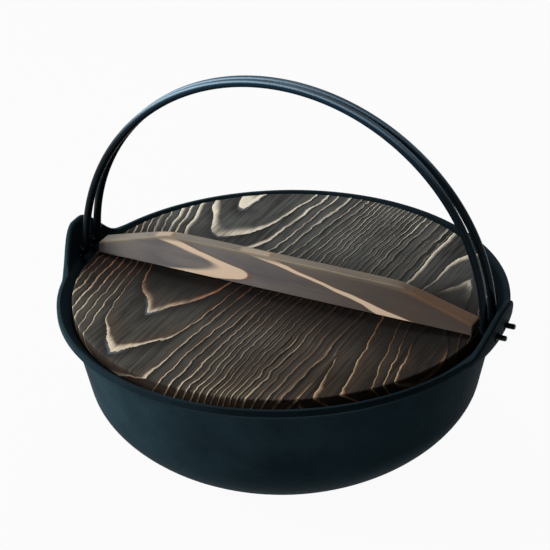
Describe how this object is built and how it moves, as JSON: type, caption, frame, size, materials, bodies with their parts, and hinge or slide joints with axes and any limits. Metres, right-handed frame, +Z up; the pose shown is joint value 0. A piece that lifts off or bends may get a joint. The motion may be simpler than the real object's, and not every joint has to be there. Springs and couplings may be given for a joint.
{
  "type": "cast iron pot",
  "caption": "Shallow round cast iron hearth pot with a flared rim and pierced ears, a bail of separate fold-down rods, and a charred wood drop-in lid with a tapered batten handle.",
  "frame": {"origin": "centre of the flat base, on the surface that the pot stands on", "axes": "+Z up, +X towards the right ear along the bail's pivot axes, +Y to the rear"},
  "size_m": [0.298, 0.28, 0.2404],
  "materials": {
    "iron": "matte blue-black sand-cast skin",
    "bail": "satin black baked coat on steel rod",
    "lid_wood": "charred and brushed softwood with raised pale grain",
    "handle_wood": "lightly charred softwood with a pale worn top",
    "screw": "plain steel"
  },
  "bodies": {
    "pot": {"pot_body": "iron"},
    "bail_front": {"bail_rod_front": "bail"},
    "bail_rear": {"bail_rod_rear": "bail"},
    "lid": {"lid_board_wide": "lid_wood", "lid_board_narrow": "lid_wood", "lid_handle": "handle_wood", "lid_screw_1": "screw", "lid_screw_2": "screw", "lid_screw_3": "screw", "lid_screw_4": "screw"}
  },
  "joints": [
    {"name": "bail_front_swing", "type": "hinge", "parent": "pot", "child": "bail_front", "pos_m": [0, -0.0075, 0.102], "axis": [1, 0, 0], "range_deg": [0, 91.5]},
    {"name": "bail_rear_swing", "type": "hinge", "parent": "pot", "child": "bail_rear", "pos_m": [0, 0.0075, 0.102], "axis": [1, 0, 0], "range_deg": [-91.5, 0]},
    {"name": "lid_lift", "type": "slide", "parent": "pot", "child": "lid", "axis": [0, 0, 1], "range_m": [0, 0.015]}
  ]
}
